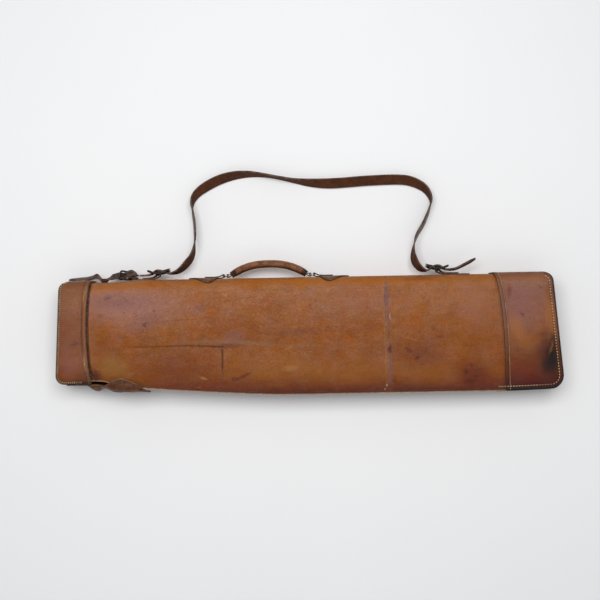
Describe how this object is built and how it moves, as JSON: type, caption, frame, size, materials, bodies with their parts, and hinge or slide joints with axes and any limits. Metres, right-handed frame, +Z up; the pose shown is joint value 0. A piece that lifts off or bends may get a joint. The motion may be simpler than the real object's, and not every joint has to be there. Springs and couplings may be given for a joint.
{
  "type": "leather rod case",
  "caption": "Flat tapering stitched leather case with a cap lid on a strap hinge, a boot at its toe, a rolled handle and a buckled shoulder strap.",
  "frame": {"origin": "centre of the flat back face, on the surface that the case lies on", "axes": "+X from the lid to the toe along the case, +Y towards the handle side, +Z up out of the front face"},
  "size_m": [0.8166, 0.3686, 0.0766],
  "materials": {
    "russet_leather": "satin",
    "boot_leather": "satin",
    "strap_leather": "satin",
    "handle_leather": "satin",
    "welt_leather": "matte",
    "lining_cloth": "matte",
    "rope": "matte",
    "board": "matte",
    "blackened_steel": "satin",
    "link_steel": "satin"
  },
  "bodies": {
    "case": {"body_wrap": "russet_leather", "bottom_gusset": "russet_leather", "toe_gusset": "russet_leather", "toe_welt_front": "welt_leather", "toe_welt_back": "welt_leather", "toe_boot": "boot_leather", "toe_board": "board", "body_lining": "lining_cloth", "divider": "board", "handle_chape_left": "strap_leather", "handle_chape_right": "strap_leather", "lid_buckle_chape": "strap_leather", "sling_chape_left": "russet_leather", "sling_chape_right": "strap_leather", "strap_keeper": "strap_leather", "hinge_strap": "strap_leather"},
    "lid": {"lid_wrap": "russet_leather", "lid_gusset": "russet_leather", "lid_welt_front": "welt_leather", "lid_welt_back": "welt_leather", "lid_board": "board", "closing_strap": "strap_leather"},
    "handle": {"handle_cover": "handle_leather", "handle_core": "rope", "handle_loop_left": "handle_leather", "handle_loop_right": "handle_leather", "handle_link_left": "link_steel", "handle_link_right": "link_steel"},
    "lid_buckle": {"lid_buckle_frame": "blackened_steel"},
    "lid_prong": {"lid_buckle_prong": "blackened_steel"},
    "left_buckle": {"sling_buckle_left_frame": "blackened_steel"},
    "left_prong": {"sling_buckle_left_prong": "blackened_steel"},
    "right_buckle": {"sling_buckle_right_frame": "blackened_steel"},
    "right_prong": {"sling_buckle_right_prong": "blackened_steel"},
    "sling": {"shoulder_strap": "strap_leather"}
  },
  "joints": [
    {"name": "lid_swing", "type": "hinge", "parent": "case", "child": "lid", "pos_m": [-0.3495, -0.076, 0.035], "axis": [0, 0, 1], "range_deg": [0, 95], "deforming": ["hinge_strap", "closing_strap"]},
    {"name": "handle_swing", "type": "hinge", "parent": "case", "child": "handle", "pos_m": [-0.0635, 0.0962, 0.035], "axis": [1, 0, 0], "range_deg": [-25, 25], "deforming": ["handle_chape_left", "handle_chape_right"]},
    {"name": "lid_buckle_turn", "type": "hinge", "parent": "case", "child": "lid_buckle", "pos_m": [-0.29, 0.0988, 0.035], "axis": [0, 0.5, -0.866], "range_deg": [0, 60]},
    {"name": "lid_prong_turn", "type": "hinge", "parent": "lid_buckle", "child": "lid_prong", "pos_m": [-0.29, 0.0988, 0.035], "axis": [0, 0.5, -0.866], "range_deg": [0, 70]},
    {"name": "left_buckle_turn", "type": "hinge", "parent": "case", "child": "left_buckle", "pos_m": [-0.2435, 0.102, 0.035], "axis": [0, 0, 1], "range_deg": [-15, 15]},
    {"name": "left_prong_turn", "type": "hinge", "parent": "left_buckle", "child": "left_prong", "pos_m": [-0.2435, 0.102, 0.035], "axis": [0, 0, 1], "range_deg": [0, 110]},
    {"name": "right_buckle_turn", "type": "hinge", "parent": "case", "child": "right_buckle", "pos_m": [0.2118, 0.102, 0.035], "axis": [0, 0, 1], "range_deg": [-15, 15]},
    {"name": "right_prong_turn", "type": "hinge", "parent": "right_buckle", "child": "right_prong", "pos_m": [0.2118, 0.102, 0.035], "axis": [0, 0, -1], "range_deg": [0, 110]},
    {"name": "sling_swing", "type": "hinge", "parent": "case", "child": "sling", "pos_m": [-0.016, 0.099, 0.035], "axis": [1, 0, 0], "range_deg": [0, 100], "deforming": ["shoulder_strap"]}
  ]
}
